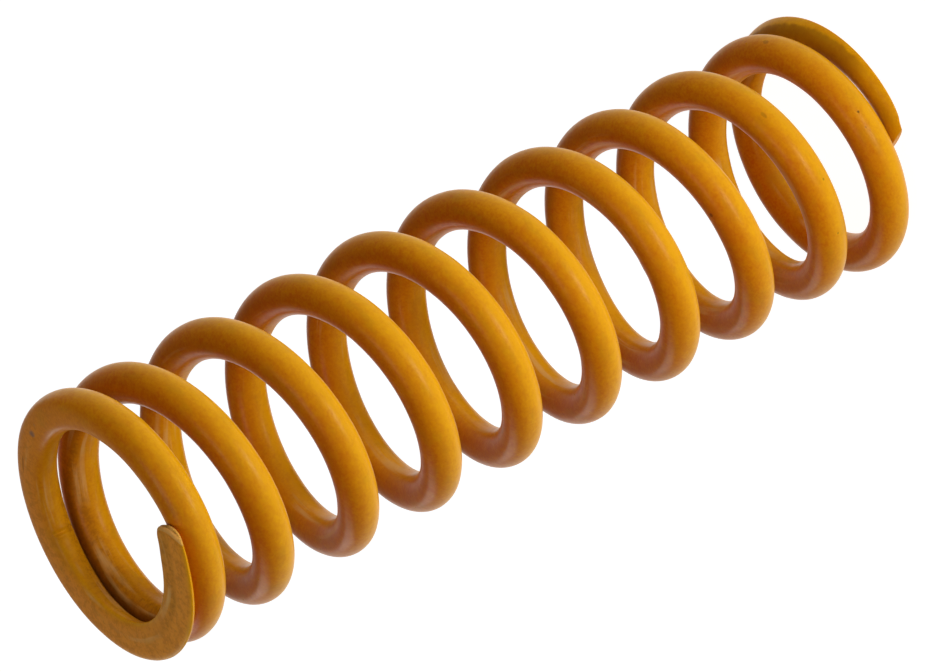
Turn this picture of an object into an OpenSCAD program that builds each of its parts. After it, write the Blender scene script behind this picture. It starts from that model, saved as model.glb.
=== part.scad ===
// Compression spring of a motorcycle clutch: one round wire, wound right-handed, with
// its end turns closed and ground flat. It stands on its lower seat, with the coil's
// axis along +Z, the origin at the middle of that seat and the lower tip towards +X.

/* [Wire] */
// Diameter of the wire over its paint
wire_d = 2.1; // [1.6:0.05:2.6]

/* [Coil] */
// Outside diameter of the coil
outside_d = 14.4; // [12:0.1:18]
// Free length from seat to seat
free_length = 50; // [42:0.5:60]
// Turns of wire from tip to tip
total_turns = 10.98; // [8:0.01:13]

/* [Closed ends] */
// Clearance between turns that lie closed
closed_gap = 0.05; // [0.02:0.01:0.2]
// Turns that lie closed at the lower end
lower_closed_turns = 0.54; // [0.4:0.01:1.4]
// Turns over which the lower end opens to the free pitch
lower_opening_turns = 1.37; // [0.3:0.01:1.6]
// Turns that lie closed at the upper end
upper_closed_turns = 1.23; // [0.4:0.01:1.4]
// Turns over which the upper end opens to the free pitch
upper_opening_turns = 0.41; // [0.3:0.01:1.6]

/* [Ground seats] */
// Thickness of wire left at each tip after grinding
tip_thickness = 0.5; // [0.3:0.05:1]
// Rounding of the wire's cut end at the lower tip
lower_tip_round = 0.2; // [0.05:0.05:0.6]
// Rounding of the wire's cut end at the upper tip
upper_tip_round = 0.6; // [0.05:0.05:0.6]

/* [Hidden] */

// Rings in a turn, points in a ring, rings in a tip's rounding, and the least part of a step
// between an even ring and a tip's last one
RINGS_PER_TURN = 32;
SIDES = 16;
ROUND_STEPS = 3;
LEAST_STEP = 0.25;

wire_r = wire_d / 2;
coil_r = (outside_d - wire_d) / 2;
turn_length = 2 * PI * coil_r;
closed_pitch = wire_d + closed_gap;

// The smooth step 3x^2 - 2x^3 from 0 to 1, and the area under it from 0 to x
function smooth_step(x) = x <= 0 ? 0 : x >= 1 ? 1 : 3 * x^2 - 2 * x^3;
function smooth_area(x) = x <= 0 ? 0 : x >= 1 ? x - 1 / 2 : x^3 - x^4 / 2;

// How far open the coil is at a turn counted from the lower tip: 0 closed, 1 at the free pitch
function openness(turn) =
    smooth_step((turn - lower_closed_turns) / lower_opening_turns)
    + smooth_step((total_turns - turn - upper_closed_turns) / upper_opening_turns) - 1;

// The openness summed from a tip, for one end's closed and opening turns
function opened_from_tip(turn, closed, opening) = opening * smooth_area((turn - closed) / opening);

// The openness summed from the lower tip up to a turn
function opened(turn) =
    opened_from_tip(turn, lower_closed_turns, lower_opening_turns)
    + opened_from_tip(total_turns, upper_closed_turns, upper_opening_turns)
    - opened_from_tip(total_turns - turn, upper_closed_turns, upper_opening_turns) - turn;

// What the free pitch adds to the closed pitch, so that the seats are the free length apart
tip_to_tip = free_length - 2 * tip_thickness + wire_d;
extra_pitch = (tip_to_tip - closed_pitch * total_turns) / opened(total_turns);

// Height of the wire's centre at a turn, and how steeply it climbs there
function height(turn) = tip_thickness - wire_r + closed_pitch * turn + extra_pitch * opened(turn);
function climb(turn) = atan2(closed_pitch + extra_pitch * openness(turn), turn_length);

// A ring of points round the wire, square to the helix
function ring(turn, radius) =
    let (
        angle = 360 * turn,
        slope = climb(turn),
        outward = [cos(angle), sin(angle), 0],
        upward = [sin(slope) * sin(angle), -sin(slope) * cos(angle), cos(slope)],
        centre = coil_r * outward + [0, 0, height(turn)]
    )
    [for (side = [0 : SIDES - 1])
        let (a = 360 * side / SIDES)
        centre + radius * (cos(a) * outward + sin(a) * upward)];

// Stations of a rounded tip, from the cut end inwards: turns from the end, and the wire's radius
function rounded_tip(tip_round) =
    [for (i = [0 : ROUND_STEPS - 1])
        let (a = 90 * i / ROUND_STEPS)
        [tip_round * (1 - cos(a)) / turn_length, wire_r - tip_round * (1 - sin(a))]];

// Stations along the whole wire: the lower tip, the turns at even angles, and the upper tip
lower_tip = rounded_tip(lower_tip_round);
upper_tip = rounded_tip(upper_tip_round);
full_from = lower_tip_round / turn_length;
full_to = total_turns - upper_tip_round / turn_length;
first_ring = ceil(full_from * RINGS_PER_TURN + LEAST_STEP);
last_ring = floor(full_to * RINGS_PER_TURN - LEAST_STEP);
stations = [
    each lower_tip,
    [full_from, wire_r],
    for (i = [first_ring : last_ring]) [i / RINGS_PER_TURN, wire_r],
    [full_to, wire_r],
    for (i = [ROUND_STEPS - 1 : -1 : 0]) [total_turns - upper_tip[i][0], upper_tip[i][1]]
];

// The wire as it leaves the winding machine, before its ends are ground
module wound_wire() {
    last = (len(stations) - 1) * SIDES;
    polyhedron(
        points = [for (station = stations) each ring(station[0], station[1])],
        faces = [
            [for (side = [0 : SIDES - 1]) side],
            [for (side = [SIDES - 1 : -1 : 0]) last + side],
            for (low = [0 : SIDES : last - SIDES], side = [0 : SIDES - 1])
                let (next = (side + 1) % SIDES, high = low + SIDES)
                each [
                    [low + side, high + side, low + next],
                    [low + next, high + side, high + next]
                ]
        ]
    );
}

// What the grinding wheels take off, below the lower seat and above the upper one
module ground_away() {
    for (bottom = [-wire_d, free_length])
        translate([-outside_d, -outside_d, bottom])
            cube([2 * outside_d, 2 * outside_d, wire_d]);
}

module coil_spring() {
    color("goldenrod")
        difference() {
            wound_wire();
            ground_away();
        }
}

coil_spring();
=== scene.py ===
"""Looks of a painted clutch spring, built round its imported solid.

One wire is swept along a helix whose pitch opens from the closed end turns to the free turns.
Two ground seats cut it flat, and amber paint with its pits, scuffs and chips covers it all.
Lengths are in metres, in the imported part's frame: the coil's axis is +Z, the lower seat lies
at z = 0 and the wire's lower tip is on the +X side.
"""

from __future__ import annotations

import logging
import math
from dataclasses import dataclass, field
from enum import Enum
from typing import Optional, Union

import bpy
import numpy as np
from mathutils import Matrix, Vector

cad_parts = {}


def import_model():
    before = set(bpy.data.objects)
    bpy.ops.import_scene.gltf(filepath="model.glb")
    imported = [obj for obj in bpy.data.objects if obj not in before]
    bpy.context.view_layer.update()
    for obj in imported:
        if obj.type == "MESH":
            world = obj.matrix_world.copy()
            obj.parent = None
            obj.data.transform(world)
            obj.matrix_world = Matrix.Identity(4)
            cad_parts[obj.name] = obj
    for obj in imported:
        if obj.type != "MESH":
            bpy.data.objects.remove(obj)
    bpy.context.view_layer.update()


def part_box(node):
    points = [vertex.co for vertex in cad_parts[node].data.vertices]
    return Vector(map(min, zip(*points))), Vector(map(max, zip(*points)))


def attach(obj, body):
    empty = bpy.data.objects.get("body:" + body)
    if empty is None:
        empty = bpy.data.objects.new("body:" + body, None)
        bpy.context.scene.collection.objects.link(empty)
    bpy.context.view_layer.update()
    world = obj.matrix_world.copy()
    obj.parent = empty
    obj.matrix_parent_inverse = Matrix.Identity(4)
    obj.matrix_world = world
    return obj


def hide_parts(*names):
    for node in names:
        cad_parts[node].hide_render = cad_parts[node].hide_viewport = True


log = logging.getLogger("clutch_spring")

MM = 0.001
FULL_TURN = 2 * math.pi
PICTURE_WIDTH = 926
PICTURE_HEIGHT = 672
SENSOR_WIDTH = 36.0
FLOOR_SIDES = 96

Colour = tuple[float, float, float]
Spot = tuple[tuple[float, float, float], float, float, float]
Feed = Union["Socket", float, str, tuple, Vector]


def smooth_step(x: np.ndarray) -> np.ndarray:
    """Eases from 0 to 1: three times x squared less twice x cubed, held at both ends."""
    held = np.clip(x, 0.0, 1.0)
    return held * held * (3.0 - 2.0 * held)


def smooth_area(x: np.ndarray) -> np.ndarray:
    """Area under the smooth step up to x: x cubed less half of x to the fourth, then x less a half."""
    held = np.clip(x, 0.0, 1.0)
    return held**3 - held**4 / 2.0 + np.maximum(x - 1.0, 0.0)


def smooth_least(first: np.ndarray, second: np.ndarray, width: float) -> np.ndarray:
    """Takes the lesser of two arrays, with the corner between them rounded.

    Args:
        first: One array.
        second: The other array.
        width: Difference within which the corner is rounded.

    Returns:
        The lesser value, less a quarter of the width at the corner itself.
    """
    share = np.maximum(width - np.abs(first - second), 0.0) / width
    return np.minimum(first, second) - share * share * width / 4.0


def lattice_noise(along: np.ndarray, around: np.ndarray, columns: int, seed: int) -> np.ndarray:
    """Gives smooth noise over a lattice that wraps round the wire.

    Random heights stand at whole numbers of both places, and the smooth step eases between them.

    Args:
        along: Place along the wire, in lattice steps.
        around: Place round the wire, from 0 to 1.
        columns: Lattice steps round the wire.
        seed: Seed of the random heights.

    Returns:
        Noise from -1 to 1, in the shape of the two places together.
    """
    rows = int(np.max(along)) + 2
    heights = np.random.default_rng(seed).uniform(-1.0, 1.0, (rows, columns))
    row = np.floor(along).astype(int)
    column = np.floor(around * columns).astype(int)
    down = smooth_step(along - row)
    across = smooth_step(around * columns - column)
    left = column % columns
    right = (column + 1) % columns
    near = heights[row, left] * (1.0 - across) + heights[row, right] * across
    far = heights[row + 1, left] * (1.0 - across) + heights[row + 1, right] * across
    return near * (1.0 - down) + far * down


class Socket:
    """An output of a shader node that takes part in sums as a number does."""

    def __init__(self, tree: "ShaderTree", output: bpy.types.NodeSocket) -> None:
        """Wraps one output socket of a tree."""
        self.tree = tree
        self.output = output

    def __add__(self, other: Feed) -> "Socket":
        """Adds a number or a socket."""
        return self.tree.math("ADD", self, other)

    def __radd__(self, other: Feed) -> "Socket":
        """Adds this socket to a number."""
        return self.tree.math("ADD", other, self)

    def __sub__(self, other: Feed) -> "Socket":
        """Takes a number or a socket away."""
        return self.tree.math("SUBTRACT", self, other)

    def __rsub__(self, other: Feed) -> "Socket":
        """Takes this socket away from a number."""
        return self.tree.math("SUBTRACT", other, self)

    def __mul__(self, other: Feed) -> "Socket":
        """Multiplies by a number or a socket."""
        return self.tree.math("MULTIPLY", self, other)

    def __rmul__(self, other: Feed) -> "Socket":
        """Multiplies a number by this socket."""
        return self.tree.math("MULTIPLY", other, self)

    def most(self, other: Feed) -> "Socket":
        """Takes the greater of this and another value."""
        return self.tree.math("MAXIMUM", self, other)


class ShaderTree:
    """The node tree of a material or a world."""

    def __init__(self, owner: Union[bpy.types.Material, bpy.types.World]) -> None:
        """Empties the owner's tree.

        Args:
            owner: The material or world whose nodes are made.
        """
        owner.use_nodes = True
        self.tree = owner.node_tree
        self.tree.nodes.clear()

    def node(
        self,
        kind: str,
        settings: Optional[dict[str, object]] = None,
        sockets: Optional[dict[Union[str, int], Feed]] = None,
    ) -> bpy.types.Node:
        """Makes a node of any kind.

        Args:
            kind: Blender's name of the node's type.
            settings: The node's own settings, which are set first.
            sockets: Values or links of its input sockets, by name or number.

        Returns:
            The new node.
        """
        made = self.tree.nodes.new(kind)
        for name, setting in (settings or {}).items():
            setattr(made, name, setting)
        for key, fed in (sockets or {}).items():
            if isinstance(fed, Socket):
                self.tree.links.new(fed.output, made.inputs[key])
            else:
                made.inputs[key].default_value = fed
        return made

    def out(
        self,
        output: Union[str, int],
        kind: str,
        settings: Optional[dict[str, object]] = None,
        sockets: Optional[dict[Union[str, int], Feed]] = None,
    ) -> Socket:
        """Makes a node and gives one of its outputs.

        Args:
            output: Name or number of the output.
            kind: Blender's name of the node's type.
            settings: The node's own settings.
            sockets: Values or links of its input sockets.

        Returns:
            The output, ready for sums.
        """
        return Socket(self, self.node(kind, settings, sockets).outputs[output])

    def math(self, operation: str, first: Feed, second: Feed) -> Socket:
        """Makes a Math node of two values."""
        return self.out(0, "ShaderNodeMath", {"operation": operation}, {0: first, 1: second})

    def mix(self, first: Feed, second: Feed, factor: Feed) -> Socket:
        """Mixes two colours by a factor from 0, the first, to 1, the second."""
        first_socket, second_socket, colour_output = 6, 7, 2
        opaque = {}
        for key, colour in ((first_socket, first), (second_socket, second)):
            opaque[key] = colour if isinstance(colour, Socket) else (*colour, 1.0)
        settings = {"data_type": "RGBA", "clamp_factor": True}
        return self.out(colour_output, "ShaderNodeMix", settings, {0: factor, **opaque})

    def ease(self, value: Feed, low: float, high: float) -> Socket:
        """Eases from 0 where the value is low to 1 where it is high."""
        sockets = {"Value": value, "From Min": low, "From Max": high}
        return self.out(0, "ShaderNodeMapRange", {"interpolation_type": "SMOOTHSTEP"}, sockets)

    def noise(self, place: Socket, scale: float, detail: float) -> Socket:
        """Makes noise of a scale, counted in lumps per unit of the place."""
        sockets = {"Vector": place, "Scale": scale, "Detail": detail}
        return self.out(0, "ShaderNodeTexNoise", None, sockets)

    def stretch(self, place: Socket, scale: tuple[float, float, float]) -> Socket:
        """Scales a place along its own axes."""
        return self.out(0, "ShaderNodeVectorMath", {"operation": "MULTIPLY"}, {0: place, 1: scale})

    def attribute(self, name: str, output: str) -> Socket:
        """Reads one of the piece's own attributes."""
        return self.out(output, "ShaderNodeAttribute", {"attribute_name": name})


class Trait(Enum):
    """What the wire's mesh carries for its paint, by attribute name."""

    WIRE_PLACE = "wire_place"
    GROUND = "ground"
    CREASE = "crease"
    INSIDE = "inside"
    CUT_END = "cut_end"


@dataclass(frozen=True)
class Mark:
    """A spot on the wire.

    Attributes:
        turn: Turns from the lower tip.
        across: Place across the wire, in wire radii away from the axis.
        up: Place up the wire, in wire radii towards the upper seat.
        radius: Radius of the spot.
        depth: How strongly it shows, from 0 to 1.
        stretch: How many times longer it is along the wire.
    """

    turn: float
    across: float
    up: float
    radius: float
    depth: float = 1.0
    stretch: float = 1.0


class EndCut(Enum):
    """How a wire's end is cut off."""

    CHISEL = "slanted, so that the inner side reaches furthest"
    FINGERTIP = "rounded, as a fingertip is"


@dataclass(frozen=True)
class EndTurn:
    """How the wire runs out at one end of the coil.

    Attributes:
        closed: Turns that lie closed against their neighbour.
        opening: Turns over which the pitch opens to the free pitch.
        tail: Turns of wire past the nominal tip.
        cut: How the end is cut off.
        cut_depth: How far the cut leaves its shortest side behind its longest.
        peak: Place across the wire that reaches furthest, from -1 inside to 1 outside.
        rounding: Radius of the cut's edges under the paint.
        inset: How far the tip is drawn in towards the axis.
        splay: Share by which the shears spread the tip sideways.
        set_turns: Turns over which the inset and the splay come in.
    """

    closed: float
    opening: float
    tail: float
    cut: EndCut
    cut_depth: float
    peak: float
    rounding: float
    inset: float
    splay: float
    set_turns: float

    def recess(self, share: np.ndarray) -> np.ndarray:
        """Says how far the cut leaves each place across the wire behind the end.

        A chisel's recess grows evenly from the inner side. A fingertip's is one less the cosine
        of a quarter turn, from nothing at the peak to the full depth at either side.

        Args:
            share: Place across the wire, from -1 inside to 1 outside.

        Returns:
            The recess at each place.
        """
        if self.cut is EndCut.CHISEL:
            return self.cut_depth * (1.0 + share) / 2.0
        room = np.where(share < self.peak, 1.0 + self.peak, 1.0 - self.peak)
        quarter = np.clip((share - self.peak) / room, -1.0, 1.0) * math.pi / 2
        return self.cut_depth * (1.0 - np.cos(quarter))


@dataclass(frozen=True)
class Bend:
    """A small bend that winding left in the wire, as a bell curve along it.

    Attributes:
        turn: Turns from the lower tip to its middle.
        turns: Turns from its middle to where about a third of it is left.
        lift: How far it lifts the wire.
        spread: How far it moves the wire away from the axis.
    """

    turn: float
    turns: float
    lift: float = 0.0
    spread: float = 0.0

    def share(self, turn: np.ndarray) -> np.ndarray:
        """Share of the bend that is left at a turn."""
        return np.exp(-(((turn - self.turn) / self.turns) ** 2))


@dataclass(frozen=True)
class PaintInputs:
    """What the sums of the paint start from.

    Attributes:
        wire: Place across, up and along the wire, in millimetres.
        up: Its part up the wire.
        along: Its part along the wire.
        ground: How much of a point lies on a seat.
        crease: How near the next turn is.
        inside: 1 on the side towards the axis.
        cut_end: 1 on the wire's cut ends.
        broad: Noise of a few millimetres.
        fine: Noise of a few tenths of a millimetre.
        grain: Noise as fine as the paint's grain.
    """

    wire: Socket
    up: Socket
    along: Socket
    ground: Socket
    crease: Socket
    inside: Socket
    cut_end: Socket
    broad: Socket
    fine: Socket
    grain: Socket


@dataclass(frozen=True)
class Paint:
    """Amber paint over spring steel, with the wear of a part that has been handled, and with shade and a
    highlight painted into its colour.

    Attributes:
        amber: Colour of most of the paint.
        deep_tone_and_shade: Deeper orange, painted on the wire's upper side as shade and mixed in at
            random as tone.
        seat: Colour over the ground seats.
        olive: Colour of stains in the paint.
        dark_olive: Dark olive of a band along the lower end turn, of mottling on the seats, and of the
            painted shade inside the coil.
        crease: Colour of the shade painted in the creases between turns, on their inner side.
        scuff_and_highlight: Colour of light scuffs, and of the highlight painted on the cut ends.
        pit: Colour of the pin-holes.
        steel: Colour of the steel that shows in a chip.
        shade_span: Millimetres along the wire over which the painted shade on the upper side comes in.
        dark_band_start: Millimetres along the wire over which the dark band begins.
        dark_band_stop: Millimetres along the wire where the band is gone and where it is still whole.
        roughness: Roughness of clean paint.
        specular: Strength of the paint's own gloss.
        bump: Strength of the paint's fine relief.
        bump_depth: Depth of that relief.
    """

    amber: Colour = (0.72, 0.325, 0.002)
    deep_tone_and_shade: Colour = (0.54, 0.14, 0.002)
    seat: Colour = (0.72, 0.25, 0.03)
    olive: Colour = (0.40, 0.21, 0.006)
    dark_olive: Colour = (0.34, 0.125, 0.003)
    crease: Colour = (0.22, 0.075, 0.003)
    scuff_and_highlight: Colour = (0.70, 0.42, 0.14)
    pit: Colour = (0.06, 0.025, 0.004)
    steel: Colour = (0.12, 0.11, 0.10)
    shade_span: tuple[float, float] = (10.0, 22.0)
    dark_band_start: tuple[float, float] = (2.6, 4.6)
    dark_band_stop: tuple[float, float] = (15.0, 12.0)
    roughness: float = 0.30
    specular: float = 0.07
    bump: float = 0.35
    bump_depth: float = 0.03 * MM

    def inputs(self, tree: ShaderTree) -> PaintInputs:
        """Reads the mesh's traits and makes the noise that all the paint shares.

        Args:
            tree: The tree that takes the nodes.

        Returns:
            The inputs of the paint's sums.
        """
        wire = tree.attribute(Trait.WIRE_PLACE.value, "Vector")
        return PaintInputs(
            wire=wire,
            up=tree.out("Y", "ShaderNodeSeparateXYZ", None, {0: wire}),
            along=tree.out("Z", "ShaderNodeSeparateXYZ", None, {0: wire}),
            ground=tree.attribute(Trait.GROUND.value, "Fac"),
            crease=tree.attribute(Trait.CREASE.value, "Fac"),
            inside=tree.attribute(Trait.INSIDE.value, "Fac"),
            cut_end=tree.attribute(Trait.CUT_END.value, "Fac"),
            broad=tree.noise(tree.stretch(wire, (1.0, 1.0, 0.4)), 0.45, 3.0),
            fine=tree.noise(wire, 2.6, 4.0),
            grain=tree.noise(wire, 7.0, 2.0),
        )

    def coat(self, tree: ShaderTree, at: PaintInputs) -> Socket:
        """Colours the paint: deeper orange painted on the upper side as shade, random tone, a darker
        olive band on the lower end turn, duller seats.

        Args:
            tree: The tree that takes the nodes.
            at: The inputs of the paint's sums.

        Returns:
            The colour before any wear.
        """
        # Painted shade: the wire's upper side turns deeper orange, less so over the first turns above
        # the lower tip, with random tone mixed in.
        full = 0.3 + 0.7 * tree.ease(at.along, *self.shade_span)
        upper_side_shade = tree.ease(at.up, -0.45, 1.0) * full * 0.85
        shade_and_tone = upper_side_shade + 0.5 * (at.broad - 0.5) + 0.6 * (at.fine - 0.5)
        colour = tree.mix(self.amber, self.deep_tone_and_shade, shade_and_tone + 0.75 * (at.grain - 0.5))
        # A darker olive band with ragged edges runs along the upper side of the lower end turn, the side
        # towards the next turn.
        dark_band_edge = at.up + 0.35 * (at.broad - 0.5) + 0.2 * (at.fine - 0.5)
        dark_band_length = tree.ease(at.along, *self.dark_band_start) * tree.ease(at.along, *self.dark_band_stop)
        dark_band = tree.ease(dark_band_edge, 0.61, 0.75) * dark_band_length
        colour = tree.mix(colour, self.dark_olive, dark_band * (0.6 + 0.3 * at.fine))
        return tree.mix(colour, self.seat, at.ground * (0.55 + 0.4 * at.fine))

    def material(self, pits: list[Spot], chips: list[Spot]) -> bpy.types.Material:
        """Builds the paint: its coat, then stains, shade painted inside the coil, a highlight painted on
        the cut ends, scuffs, shade painted in the creases, pits and chips over it.

        Args:
            pits: Pin-holes and stains, placed along and across the wire.
            chips: Chips down to the steel, placed in the same way.

        Returns:
            The material.
        """
        made = bpy.data.materials.new("amber_paint")
        tree = ShaderTree(made)
        at = self.inputs(tree)
        colour = self.coat(tree, at)

        stains = tree.ease(tree.noise(tree.stretch(at.wire, (1.0, 1.0, 0.5)), 1.1, 5.0), 0.52, 0.72)
        mottle = tree.ease(at.fine + 0.6 * (at.grain - 0.5), 0.38, 0.70)
        inner_side = tree.ease(at.inside, 0.3, 0.75)
        # Painted shade: the inner side darkens to dark olive towards the next turn, mottled.
        inner_shade = tree.ease(at.crease, 0.01, 0.35) * inner_side * (0.3 + 0.4 * mottle)
        colour = tree.mix(colour, self.olive, stains * 0.22)
        # Dark olive goes on as mottling on the seats and as the painted shade inside the coil.
        colour = tree.mix(colour, self.dark_olive, (0.4 * mottle * at.ground).most(inner_shade))
        # Painted highlight and scuffs: the cut ends are made paler.
        colour = tree.mix(colour, self.scuff_and_highlight, at.cut_end * (0.2 + 0.5 * at.fine))

        streaks = tree.noise(tree.stretch(at.wire, (2.4, 2.4, 0.16)), 1.0, 4.0)
        patches = tree.ease(tree.noise(at.wire, 0.22, 2.0), 0.40, 0.58)
        scuffs = tree.ease(streaks, 0.53, 0.68) * patches * at.inside
        colour = tree.mix(colour, self.scuff_and_highlight, scuffs * 0.55)
        # Painted shade: the creases between turns darken on their inner side.
        crease_shade = tree.ease(at.crease, 0.72, 0.98) * inner_side * (0.3 + 0.5 * at.fine)
        colour = tree.mix(colour, self.crease, crease_shade)

        pitted = self.spots(tree, at, pits, 0.5)
        chipped = self.spots(tree, at, chips, 0.25)
        colour = tree.mix(colour, self.pit, pitted * 0.9)
        colour = tree.mix(colour, self.steel, chipped * 0.85)

        rough = self.roughness + 0.12 * (at.fine - 0.5) + 0.16 * at.ground + 0.14 * scuffs + 0.2 * crease_shade
        peel = tree.noise(at.wire, 1.7, 2.0) + 0.25 * tree.noise(at.wire, 6.0, 2.0)
        relief = peel - 0.8 * pitted - 0.5 * chipped
        fine_relief = {"Strength": self.bump, "Distance": self.bump_depth, "Height": relief}
        finish = {
            "Base Color": colour,
            "Roughness": rough,
            "Specular IOR Level": self.specular,
            "Normal": tree.out("Normal", "ShaderNodeBump", None, fine_relief),
        }
        shader = tree.out("BSDF", "ShaderNodeBsdfPrincipled", None, finish)
        tree.node("ShaderNodeOutputMaterial", None, {"Surface": shader})
        return made

    def spots(self, tree: ShaderTree, at: PaintInputs, marks: list[Spot], edge: float) -> Socket:
        """Marks ragged spots: full depth at each middle, easing to 0 at its radius.

        Args:
            tree: The tree that takes the nodes.
            at: The inputs of the paint's sums, whose fine noise makes the edges ragged.
            marks: Middles, radii, stretches and depths of the spots.
            edge: Share of each radius that stays whole.

        Returns:
            The strongest of the spots at each point.
        """
        strongest: Optional[Socket] = None
        for middle, radius, stretch, depth in marks:
            scale = (1.0, 1.0, 1.0 / stretch)
            centre = (middle[0], middle[1], middle[2] / stretch)
            sockets = {0: tree.stretch(at.wire, scale), 1: centre}
            gap = tree.out("Value", "ShaderNodeVectorMath", {"operation": "DISTANCE"}, sockets)
            ragged = gap + 1.2 * radius * (at.fine - 0.5)
            spot = depth * tree.ease(ragged, radius, edge * radius)
            strongest = spot if strongest is None else strongest.most(spot)
        return strongest


@dataclass
class CoilSpring:
    """The spring: one wire, wound right-handed, with closed and ground end turns.

    Attributes:
        outside_d: Outside diameter of the coil, from the frame.
        free_length: Length from seat to seat, from the frame.
        wire_d: Diameter of the wire over its paint.
        total_turns: Turns from tip to tip.
        closed_gap: Clearance between closed turns.
        tip_thickness: Wire left at each tip after grinding.
        lower: The end turn on the lower seat.
        upper: The end turn under the upper seat.
        cut_zone: Length of wire over which the rings turn from square to the end's cut.
        bends: Small bends in the wire.
        nick_turn: Where a nick crosses the inside of the upper end turn.
        nick_depth: Depth of the nick.
        nick_width: Half of its width.
        nick_middle: Place of the nick round the wire, from 0 outside to 0.5 inside.
        nick_reach: How far round the wire it goes to either side.
        edge_width: Width over which paint rounds the seats' edges.
        long_wave: Length of the paint's long waves.
        long_wave_height: Their height.
        short_wave: Length of the paint's short waves.
        short_wave_height: Their height.
        crease_reach: How far from the next turn the painted shade reaches.
        rings_per_turn: Rings of points in each turn.
        sides: Points in each ring.
        tip_rings: Rings in the rounding of each tip.
        nick_rings: Rings across the nick.
        pits: Pin-holes in the paint.
        chips: Chips in the paint of the upper seat.
    """

    outside_d: float
    free_length: float
    wire_d: float = 2.1 * MM
    total_turns: float = 10.98
    closed_gap: float = 0.04 * MM
    tip_thickness: float = 0.5 * MM
    lower: EndTurn = EndTurn(
        closed=0.54,
        opening=1.37,
        tail=0.038,
        cut=EndCut.CHISEL,
        cut_depth=1.3 * MM,
        peak=-1.0,
        rounding=0.07 * MM,
        inset=0.2 * MM,
        splay=0.0,
        set_turns=0.08,
    )
    upper: EndTurn = EndTurn(
        closed=1.23,
        opening=0.41,
        tail=0.012,
        cut=EndCut.FINGERTIP,
        cut_depth=0.85 * MM,
        peak=-0.5,
        rounding=0.16 * MM,
        inset=0.0,
        splay=0.36,
        set_turns=0.28,
    )
    cut_zone: float = 2.4 * MM
    bends: tuple[Bend, ...] = (
        Bend(0.20, 0.15, spread=0.20 * MM),
        Bend(0.60, 0.25, lift=-0.25 * MM),
        Bend(0.80, 0.15, spread=0.15 * MM),
        Bend(1.05, 0.15, lift=0.25 * MM),
        Bend(2.05, 0.30, lift=0.30 * MM),
        Bend(3.05, 0.15, lift=0.30 * MM),
        Bend(3.50, 0.15, lift=-0.30 * MM),
        Bend(4.25, 0.30, lift=-0.25 * MM),
        Bend(8.60, 0.20, lift=0.25 * MM),
        Bend(9.60, 0.25, spread=-0.15 * MM),
        Bend(10.50, 0.10, lift=-0.15 * MM),
        Bend(10.60, 0.20, spread=0.10 * MM),
        Bend(11.00, 0.05, spread=0.30 * MM),
    )
    nick_turn: float = 10.50
    nick_depth: float = 0.08 * MM
    nick_width: float = 0.14 * MM
    nick_middle: float = 0.52
    nick_reach: float = 0.15
    edge_width: float = 0.62 * MM
    long_wave: float = 5.0 * MM
    long_wave_height: float = 0.012 * MM
    short_wave: float = 1.1 * MM
    short_wave_height: float = 0.006 * MM
    crease_reach: float = 0.80 * MM
    rings_per_turn: int = 144
    sides: int = 56
    tip_rings: int = 8
    nick_rings: int = 17
    pits: list[Mark] = field(
        default_factory=lambda: [
            Mark(1.198, 0.90, 0.44, 0.14 * MM, 0.35, 1.6),
            Mark(1.040, 0.95, 0.30, 0.09 * MM, 0.9),
            Mark(1.020, 0.91, 0.41, 0.07 * MM, 0.4),
            Mark(2.091, 0.93, 0.37, 0.14 * MM, 0.35, 1.8),
            Mark(1.988, 0.98, -0.17, 0.08 * MM, 0.5),
            Mark(3.016, 0.05, 1.0, 0.16 * MM, 0.6),
            Mark(1.917, 1.0, 0.08, 0.08 * MM, 0.5),
            Mark(2.093, -0.83, -0.56, 0.12 * MM, 0.4),
            Mark(10.392, 0.17, 0.72, 0.12 * MM, 0.4, 6.0),
        ]
    )
    chips: list[Mark] = field(
        default_factory=lambda: [
            Mark(10.324, -0.05, 0.81, 0.30 * MM, 0.8),
            Mark(10.305, 0.10, 0.85, 0.16 * MM, 0.5),
        ]
    )

    @property
    def wire_r(self) -> float:
        """Radius of the wire."""
        return self.wire_d / 2

    @property
    def coil_r(self) -> float:
        """Radius from the axis to the middle of the wire."""
        return (self.outside_d - self.wire_d) / 2

    @property
    def turn_length(self) -> float:
        """Length of wire in a flat turn."""
        return FULL_TURN * self.coil_r

    @property
    def first_turn(self) -> float:
        """Turn at which the wire begins, at its lower end."""
        return -self.lower.tail

    @property
    def last_turn(self) -> float:
        """Turn at which the wire stops, at its upper end."""
        return self.total_turns + self.upper.tail

    @property
    def closed_pitch(self) -> float:
        """Climb of a closed turn."""
        return self.wire_d + self.closed_gap

    @property
    def extra_pitch(self) -> float:
        """What the free pitch adds to the closed pitch, so that the seats are the free length apart."""
        tip_to_tip = self.free_length - 2 * self.tip_thickness + self.wire_d
        whole = np.array(self.total_turns)
        return float((tip_to_tip - self.closed_pitch * self.total_turns) / self.opened(whole))

    def openness(self, turn: np.ndarray) -> np.ndarray:
        """Says how far open the coil is at a turn: 0 closed, 1 at the free pitch."""
        from_upper = self.total_turns - turn
        opened_below = smooth_step((turn - self.lower.closed) / self.lower.opening)
        opened_above = smooth_step((from_upper - self.upper.closed) / self.upper.opening)
        return opened_below + opened_above - 1.0

    def opened(self, turn: np.ndarray) -> np.ndarray:
        """Sums the openness from the lower tip up to a turn."""

        def from_tip(turns: np.ndarray, end: EndTurn) -> np.ndarray:
            """Sums one end's openness from its own tip."""
            return end.opening * smooth_area((turns - end.closed) / end.opening)

        upper_total = from_tip(np.array(self.total_turns), self.upper)
        upper_left = from_tip(self.total_turns - turn, self.upper)
        return from_tip(turn, self.lower) + upper_total - upper_left - turn

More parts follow.
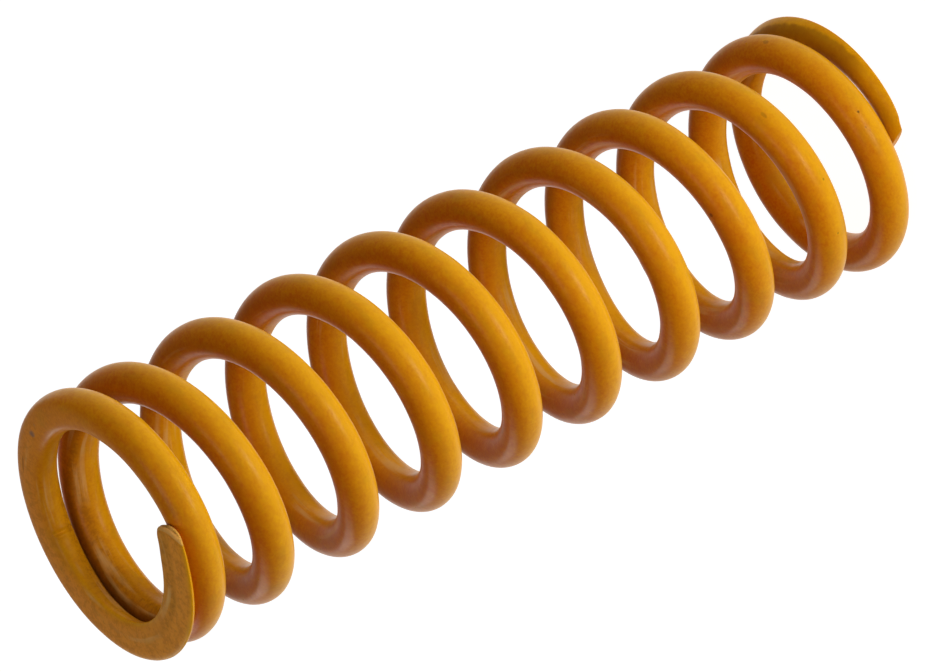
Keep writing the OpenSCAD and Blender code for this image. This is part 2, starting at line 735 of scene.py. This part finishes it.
    def height(self, turn: np.ndarray) -> np.ndarray:
        """Height of the wire's middle at a turn, with each bend as a bell curve on it."""
        start = self.tip_thickness - self.wire_r
        lift = sum(bend.lift * bend.share(turn) for bend in self.bends)
        return start + self.closed_pitch * turn + self.extra_pitch * self.opened(turn) + lift

    def at_ends(self, turn: np.ndarray, lower: float, upper: float) -> np.ndarray:
        """Gives what is set at each tip, easing to nothing over that end's set turns.

        Args:
            turn: Turns from the lower tip.
            lower: Value at the lower tip.
            upper: Value at the upper tip.

        Returns:
            The value at each turn.
        """
        near_lower = smooth_step(1.0 - (turn - self.first_turn) / self.lower.set_turns)
        near_upper = smooth_step(1.0 - (self.last_turn - turn) / self.upper.set_turns)
        return lower * near_lower + upper * near_upper

    def radius(self, turn: np.ndarray) -> np.ndarray:
        """Distance of the wire's middle from the axis, with the bends and each tip's inset."""
        spread = sum(bend.spread * bend.share(turn) for bend in self.bends)
        return self.coil_r + spread - self.at_ends(turn, self.lower.inset, self.upper.inset)

    def stations(self) -> tuple[np.ndarray, np.ndarray]:
        """Places the rings along the wire.

        A quarter round of rings stands at each cut end, even steps lie between, and more rings
        cross the nick.

        Returns:
            The turn at each ring, and how far its section is drawn in by the rounding.
        """
        quarter = np.linspace(0.0, math.pi / 2, self.tip_rings, endpoint=False)
        rise = (1.0 - np.cos(quarter)) / self.turn_length
        fall = 1.0 - np.sin(quarter)
        lower_turns = self.first_turn + self.lower.rounding * rise
        upper_turns = self.last_turn - self.upper.rounding * rise
        first = self.first_turn + self.lower.rounding / self.turn_length
        last = self.last_turn - self.upper.rounding / self.turn_length
        even = np.linspace(first, last, round((last - first) * self.rings_per_turn))
        half_span = 3.0 * self.nick_width / self.turn_length
        nick = self.nick_turn + half_span * np.linspace(-1.0, 1.0, self.nick_rings)
        between = np.union1d(even[np.abs(even - self.nick_turn) > half_span], nick)
        turn = np.concatenate([lower_turns, between, upper_turns[::-1]])
        lower_in = self.lower.rounding * fall
        upper_in = self.upper.rounding * fall[::-1]
        return turn, np.concatenate([lower_in, np.zeros_like(between), upper_in])

    def slanted(self, turn: np.ndarray, share: np.ndarray) -> np.ndarray:
        """Slants the rings near each end to the cut there.

        Each point moves back along the wire by the cut's recess, in full at the end and easing
        to nothing at the far side of the cut zone.

        Args:
            turn: The turn at each ring.
            share: Each point's place across the wire, from -1 inside to 1 outside.

        Returns:
            The turn at each point.
        """
        zone = self.cut_zone / self.turn_length
        lower = smooth_step(1.0 - (turn - self.first_turn) / zone)[:, None]
        upper = smooth_step(1.0 - (self.last_turn - turn) / zone)[:, None]
        back = lower * self.lower.recess(share) - upper * self.upper.recess(share)
        return turn[:, None] + back / self.turn_length

    def axes(self, turn: np.ndarray) -> tuple[np.ndarray, np.ndarray, np.ndarray, np.ndarray]:
        """Finds the wire's middle and the directions of its section.

        The section stands square to the helix: outward is level and points away from the axis,
        and upward leans back from +Z by the helix's own climb.

        Args:
            turn: Turns from the lower tip.

        Returns:
            The middles, the outward and upward directions, and the cosine of the climb.
        """
        angle = FULL_TURN * turn
        climb = np.arctan2(self.closed_pitch + self.extra_pitch * self.openness(turn), self.turn_length)
        level = np.zeros_like(turn)
        outward = np.stack([np.cos(angle), np.sin(angle), level], axis=-1)
        lean = np.sin(climb)
        upward = np.stack([lean * np.sin(angle), -lean * np.cos(angle), np.cos(climb)], axis=-1)
        middle = self.radius(turn)[..., None] * outward
        middle[..., 2] += self.height(turn)
        return middle, outward, upward, np.cos(climb)

    def section(
        self, low: np.ndarray, high: np.ndarray, drawn_in: np.ndarray
    ) -> tuple[np.ndarray, np.ndarray, np.ndarray, np.ndarray]:
        """Outlines the wire's section at each ring: a circle cut flat by the seats.

        Rays leave the middle of what the seats leave of the circle, in directions spread as
        on an ellipse of its width and height. Each ends at the circle or at a seat, whichever
        comes first, with the corner between them rounded by the paint. At a tip the outline is
        then drawn in towards its middle.

        Args:
            low: Height of the lower seat above each ring's middle.
            high: Height of the upper seat above each ring's middle.
            drawn_in: How far each ring's outline is drawn in.

        Returns:
            The outline's places across and up, its place across as a share of its half width,
            and how much of each point lies on a seat.
        """
        kept_low = np.maximum(low, -self.wire_r)
        kept_high = np.minimum(high, self.wire_r)
        middle = ((kept_low + kept_high) / 2)[:, None]
        half_height = ((kept_high - kept_low) / 2)[:, None]
        past_middle = np.maximum(np.maximum(kept_low, -kept_high), 0.0)
        half_width = np.sqrt(self.wire_r**2 - past_middle**2)[:, None]
        angle = np.linspace(0.0, FULL_TURN, self.sides, endpoint=False)[None, :]
        ray_across = half_width * np.cos(angle)
        ray_up = half_height * np.sin(angle)
        ray_length = np.hypot(ray_across, ray_up)
        ray_across = ray_across / ray_length
        ray_up = ray_up / ray_length
        to_circle = np.sqrt(self.wire_r**2 - (middle * ray_across) ** 2) - middle * ray_up
        level = np.abs(ray_up) < 1e-9
        steep = np.where(level, 1.0, ray_up)
        seat = np.where(ray_up < 0.0, low[:, None], high[:, None])
        to_seat = np.where(level, 1.0, (seat - middle) / steep)
        reach = smooth_least(to_circle, to_seat, self.edge_width)
        on_seat = np.clip((to_circle - to_seat) / self.edge_width + 0.5, 0.0, 1.0)
        across = reach * ray_across * (1.0 - drawn_in[:, None] / half_width)
        up = middle + reach * ray_up * (1.0 - drawn_in[:, None] / half_height)
        return across, up, across / half_width, on_seat

    def relief(self, turn: np.ndarray, on_seat: np.ndarray) -> np.ndarray:
        """Varies the paint's thickness in long waves and short ones, less on the ground seats.

        The nick across the upper end turn is a groove between two raised lips: one less the square
        of the distance from its middle, under a bell curve.

        Args:
            turn: Turns from the lower tip, one for each ring.
            on_seat: How much of each point lies on a seat.

        Returns:
            Thickness to add at each point.
        """
        along = ((turn - self.first_turn) * self.turn_length)[:, None]
        around = np.linspace(0.0, 1.0, self.sides, endpoint=False)[None, :]
        long_waves = self.long_wave_height * lattice_noise(along / self.long_wave, around, 3, seed=11)
        short_waves = self.short_wave_height * lattice_noise(along / self.short_wave, around, 6, seed=12)
        paint = (long_waves + short_waves) * (1.0 - 0.7 * on_seat)
        from_nick = (turn - self.nick_turn)[:, None] * self.turn_length / self.nick_width
        from_middle = np.abs(around - self.nick_middle)
        inner_side = smooth_step(4.0 * (self.nick_reach - from_middle) / self.nick_reach)
        nick = self.nick_depth * (1.0 - from_nick**2) * np.exp(-(from_nick**2) / 2.0) * inner_side
        return paint - nick

    def creases(self, turn: np.ndarray, across: np.ndarray, up: np.ndarray) -> np.ndarray:
        """Measures how near each point is to the turn above or below.

        The clearance is the distance to the neighbour's middle less the wire's radius, and
        nearness falls off as a bell curve of it.

        Args:
            turn: Turns from the lower tip, one for each ring.
            across: Each point's place across the wire.
            up: Each point's place up the wire.

        Returns:
            Nearness from 0 to 1 at each point.
        """
        nearest = np.zeros_like(across)
        for step in (-1.0, 1.0):
            beside = turn + step
            there = (beside >= 0.0) & (beside <= self.total_turns)
            rise = self.height(np.clip(beside, 0.0, self.total_turns)) - self.height(turn)
            clearance = np.hypot(across, up - rise[:, None]) - self.wire_r
            near = np.exp(-((np.maximum(clearance, 0.0) / self.crease_reach) ** 2))
            nearest = np.maximum(nearest, near * there[:, None])
        return nearest

    def faces(self, rings: int) -> list[tuple[int, ...]]:
        """Lists the faces: four-sided ones between rings, and a fan at each cut end.

        Args:
            rings: Number of rings. The two fans' centres come after all the rings' points.

        Returns:
            Each face's points, seen from outside.
        """
        side = np.arange(self.sides)
        following = (side + 1) % self.sides
        low = (np.arange(rings - 1) * self.sides)[:, None]
        high = low + self.sides
        walls = np.stack([low + side, low + following, high + following, high + side], axis=-1)
        lower_centre = rings * self.sides
        upper_centre = np.full_like(side, lower_centre + 1)
        lower_fan = np.stack([np.full_like(side, lower_centre), following, side], axis=-1)
        last = (rings - 1) * self.sides
        upper_fan = np.stack([upper_centre, last + side, last + following], axis=-1)
        fans = np.concatenate([lower_fan, upper_fan])
        outward_walls = walls[..., ::-1].reshape(-1, 4).tolist()
        outward_fans = fans[..., ::-1].tolist()
        return [tuple(face) for face in outward_walls + outward_fans]

    def build(self) -> bpy.types.Object:
        """Sweeps the wire and puts it in the scene, with its traits for the paint.

        Returns:
            The spring's object.
        """
        turn, drawn_in = self.stations()
        ring_middle, _, _, cosine = self.axes(turn)
        low = -ring_middle[:, 2] / cosine
        high = (self.free_length - ring_middle[:, 2]) / cosine
        across, up, share, on_seat = self.section(low, high, drawn_in)
        across = across * (1.0 + self.at_ends(turn, self.lower.splay, self.upper.splay))[:, None]
        thicker = 1.0 + self.relief(turn, on_seat) / self.wire_r
        point_turn = self.slanted(turn, share)
        middle, outward, upward, _ = self.axes(point_turn)
        points = middle + (across * thicker)[..., None] * outward + (up * thicker)[..., None] * upward
        points[..., 2] = np.clip(points[..., 2], 0.0, self.free_length)
        ends = points[[0, -1]].mean(axis=1)
        every = np.concatenate([points.reshape(-1, 3), ends])
        mesh = bpy.data.meshes.new("painted_coil")
        mesh.from_pydata(every.tolist(), [], self.faces(len(turn)))
        mesh.validate()
        mesh.polygons.foreach_set("use_smooth", np.ones(len(mesh.polygons), dtype=bool))

        wire_place = np.stack([across, up, point_turn * self.turn_length], axis=-1) / MM
        inside = smooth_step(0.5 - across / self.wire_r)
        cut_end = np.repeat((drawn_in > 0.0).astype(float)[:, None], self.sides, axis=1)
        self.add_trait(mesh, Trait.WIRE_PLACE, wire_place)
        self.add_trait(mesh, Trait.GROUND, on_seat)
        self.add_trait(mesh, Trait.CREASE, self.creases(turn, across, up))
        self.add_trait(mesh, Trait.INSIDE, inside)
        self.add_trait(mesh, Trait.CUT_END, cut_end)
        mesh.update()
        coil = bpy.data.objects.new("painted_coil", mesh)
        bpy.context.scene.collection.objects.link(coil)
        return coil

    def add_trait(self, mesh: bpy.types.Mesh, trait: Trait, values: np.ndarray) -> None:
        """Stores a trait on the mesh, with each fan's centre taking its end ring's mean.

        Args:
            mesh: The wire's mesh.
            trait: The trait to store.
            values: One value, or one vector, for each point of each ring.
        """
        is_vector = values.ndim == 3
        width = 3 if is_vector else 1
        ends = values[[0, -1]].mean(axis=1).reshape(2, width)
        every = np.concatenate([values.reshape(-1, width), ends]).astype(np.float32)
        stored = mesh.attributes.new(trait.value, "FLOAT_VECTOR" if is_vector else "FLOAT", "POINT")
        stored.data.foreach_set("vector" if is_vector else "value", every.ravel())

    def spot(self, mark: Mark) -> Spot:
        """Places a mark along and across the wire, in millimetres as the mesh carries them.

        Args:
            mark: The mark on the wire.

        Returns:
            Its middle, radius, stretch and depth.
        """
        across = mark.across * self.wire_r / MM
        up = mark.up * self.wire_r / MM
        along = mark.turn * self.turn_length / MM
        return (across, up, along), mark.radius / MM, mark.stretch, mark.depth

    def dress(self, coil: bpy.types.Object, paint: Paint) -> None:
        """Paints the spring and gives it its place in the frame.

        Args:
            coil: The spring's object.
            paint: Its finish.
        """
        pits = [self.spot(mark) for mark in self.pits]
        chips = [self.spot(mark) for mark in self.chips]
        coil.data.materials.append(paint.material(pits, chips))
        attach(coil, "root")
        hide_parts("coil_spring")


@dataclass(frozen=True)
class Softbox:
    """An oblong studio lamp that faces the spring.

    Attributes:
        name: The lamp's name.
        bearing: Bearing from +X towards +Y, in degrees.
        elevation: Elevation above the floor, in degrees.
        distance: Distance from the spring's middle.
        width: Its width.
        height: Its height.
        level: Light that it gives a surface facing it, where 1 shows white as white.
    """

    name: str
    bearing: float
    elevation: float
    distance: float
    width: float
    height: float
    level: float


def direction(bearing: float, elevation: float) -> Vector:
    """Points from the spring along a bearing from +X towards +Y and an elevation, in degrees."""
    b = math.radians(bearing)
    e = math.radians(elevation)
    return Vector((math.cos(e) * math.cos(b), math.cos(e) * math.sin(b), math.sin(e)))


@dataclass
class Studio:
    """The camera, the floor and the light.

    Attributes:
        spring_length: Length of the spring, which stands at the origin.
        aim_share: Share of that length at which the camera and the lamps aim.
        bearing: The camera's bearing from +X towards +Y, in degrees.
        elevation: The camera's elevation, in degrees.
        lean: Slope of the coil's axis in the picture, down to the left, in degrees.
        distance: Distance from the camera to the aim.
        focal_pixels: Focal length in pixels of the picture.
        aim_pixel: Where the aim shows in the picture, from its upper left corner.
        floor_radius: Radius of the floor.
        floor_glow: The floor's own light, before it is mixed with its matt white.
        floor_shown: Share of that glow where the floor is seen, mirrored or looked at through glass.
        floor_bounced: Share of that glow where the floor lights the spring.
        floor_white: How much light the floor's matt white throws back.
        horizon_light: Light from the surroundings at the horizon.
        zenith_light: Light from the surroundings overhead.
        sky_span: Sines of the elevations between which the one turns into the other.
        softboxes: The lamps.
    """

    spring_length: float
    aim_share: float = 0.504
    bearing: float = 9.32
    elevation: float = 30.81
    lean: float = 28.13
    distance: float = 274.8 * MM
    focal_pixels: float = 5281.0
    aim_pixel: tuple[float, float] = (478.0, 328.0)
    floor_radius: float = 4.0
    floor_glow: float = 1.36
    floor_shown: float = 0.7
    floor_bounced: float = 0.50
    floor_white: float = 0.9
    horizon_light: float = 0.45
    zenith_light: float = 0.08
    sky_span: tuple[float, float] = (0.1, 0.6)
    softboxes: tuple[Softbox, ...] = (
        Softbox("key_softbox", 0.0, -13.0, 0.072, 0.028, 0.013, 0.41),
        Softbox("front_softbox", 0.0, 38.0, 0.6, 0.8, 0.6, 0.08),
        Softbox("back_softbox", 220.0, 18.0, 0.6, 0.25, 0.25, 0.16),
        Softbox("top_softbox", 0.0, 80.0, 0.6, 0.25, 0.25, 0.23),
    )

    @property
    def aim(self) -> Vector:
        """Point on the coil's axis that the camera looks at."""
        return Vector((0.0, 0.0, self.aim_share * self.spring_length))

    def add_camera(self) -> None:
        """Sets the camera: turned to its bearing and elevation, then rolled until the axis leans."""
        back = direction(self.bearing, self.elevation)
        level_right = Vector((0.0, 0.0, 1.0)).cross(back).normalized()
        level_up = back.cross(level_right)
        roll = math.radians(90.0 + self.lean)
        right = level_right * math.cos(roll) - level_up * math.sin(roll)
        up = level_right * math.sin(roll) + level_up * math.cos(roll)
        place = self.aim + back * self.distance
        lens = bpy.data.cameras.new("camera")
        lens.sensor_width = SENSOR_WIDTH
        lens.lens = self.focal_pixels * SENSOR_WIDTH / PICTURE_WIDTH
        lens.shift_x = (PICTURE_WIDTH / 2 - self.aim_pixel[0]) / PICTURE_WIDTH
        lens.shift_y = (self.aim_pixel[1] - PICTURE_HEIGHT / 2) / PICTURE_WIDTH
        lens.clip_start = 0.01
        lens.clip_end = 100.0
        camera = bpy.data.objects.new("camera", lens)
        turned = Matrix((right, up, back)).transposed().to_4x4()
        camera.matrix_world = Matrix.Translation(place) @ turned
        bpy.context.scene.collection.objects.link(camera)
        bpy.context.scene.camera = camera

    def add_floor(self) -> None:
        """Lays a round white floor that keeps the spring's shadow."""
        angle = np.linspace(0.0, FULL_TURN, FLOOR_SIDES, endpoint=False)
        circle = np.stack([np.cos(angle), np.sin(angle), np.zeros_like(angle)], axis=-1)
        mesh = bpy.data.meshes.new("floor")
        mesh.from_pydata((circle * self.floor_radius).tolist(), [], [tuple(range(FLOOR_SIDES))])
        mesh.materials.append(self.floor_material())
        floor = bpy.data.objects.new("floor", mesh)
        bpy.context.scene.collection.objects.link(floor)

    def floor_material(self) -> bpy.types.Material:
        """Makes the floor's white, part matt so that it keeps a shadow and part its own glow.

        Returns:
            The material.
        """
        made = bpy.data.materials.new("white_floor")
        tree = ShaderTree(made)
        path = tree.node("ShaderNodeLightPath")
        kinds = ("Is Camera Ray", "Is Glossy Ray", "Is Transmission Ray")
        camera, glossy, transmission = [Socket(tree, path.outputs[kind]) for kind in kinds]
        seen = camera.most(glossy).most(transmission)
        glow_share = self.floor_bounced + (self.floor_shown - self.floor_bounced) * seen
        white = (self.floor_white, self.floor_white, self.floor_white, 1.0)
        matt = tree.out("BSDF", "ShaderNodeBsdfDiffuse", None, {"Color": white})
        lit = tree.out("Emission", "ShaderNodeEmission", None, {"Strength": self.floor_glow})
        surface = tree.out(0, "ShaderNodeMixShader", None, {0: glow_share, 1: matt, 2: lit})
        tree.node("ShaderNodeOutputMaterial", None, {"Surface": surface})
        return made

    def add_world(self) -> None:
        """Lights the surroundings: pale at the horizon and dimmer overhead."""
        world = bpy.data.worlds.new("studio")
        bpy.context.scene.world = world
        tree = ShaderTree(world)
        heading = tree.out("Generated", "ShaderNodeTexCoord")
        rise = tree.out("Z", "ShaderNodeSeparateXYZ", None, {0: heading})
        overhead = tree.ease(rise, *self.sky_span)
        horizon = (self.horizon_light,) * 3
        zenith = (self.zenith_light,) * 3
        colour = tree.mix(horizon, zenith, overhead)
        light = tree.out("Background", "ShaderNodeBackground", None, {"Color": colour})
        tree.node("ShaderNodeOutputWorld", None, {"Surface": light})

    def add_softbox(self, box: Softbox) -> None:
        """Hangs a lamp that faces the aim.

        A lamp of power P at distance d gives a surface facing it the light P over the square of
        pi times d, where 1 shows white as white, so the power follows from the level.

        Args:
            box: The lamp.
        """
        toward = direction(box.bearing, box.elevation)
        lamp = bpy.data.lights.new(box.name, "AREA")
        lamp.shape = "RECTANGLE"
        lamp.size = box.width
        lamp.size_y = box.height
        lamp.energy = box.level * (math.pi * box.distance) ** 2
        hung = bpy.data.objects.new(box.name, lamp)
        hung.location = self.aim + toward * box.distance
        hung.rotation_euler = toward.to_track_quat("Z", "Y").to_euler()
        hung.visible_camera = False
        bpy.context.scene.collection.objects.link(hung)

    def build(self) -> None:
        """Sets up the whole studio."""
        bpy.context.scene.view_settings.view_transform = "Standard"
        self.add_camera()
        self.add_floor()
        self.add_world()
        for box in self.softboxes:
            self.add_softbox(box)


def main() -> None:
    """Builds the spring and the studio, and logs the spring's face count."""
    logging.basicConfig(level=logging.INFO, format="%(name)s: %(message)s")
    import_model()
    low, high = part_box("coil_spring")
    spring = CoilSpring(outside_d=high.x - low.x, free_length=high.z - low.z)
    coil = spring.build()
    spring.dress(coil, Paint())
    log.info("%s: %d faces", coil.name, len(coil.data.polygons))
    Studio(spring_length=spring.free_length).build()


if __name__ == "__main__":
    main()
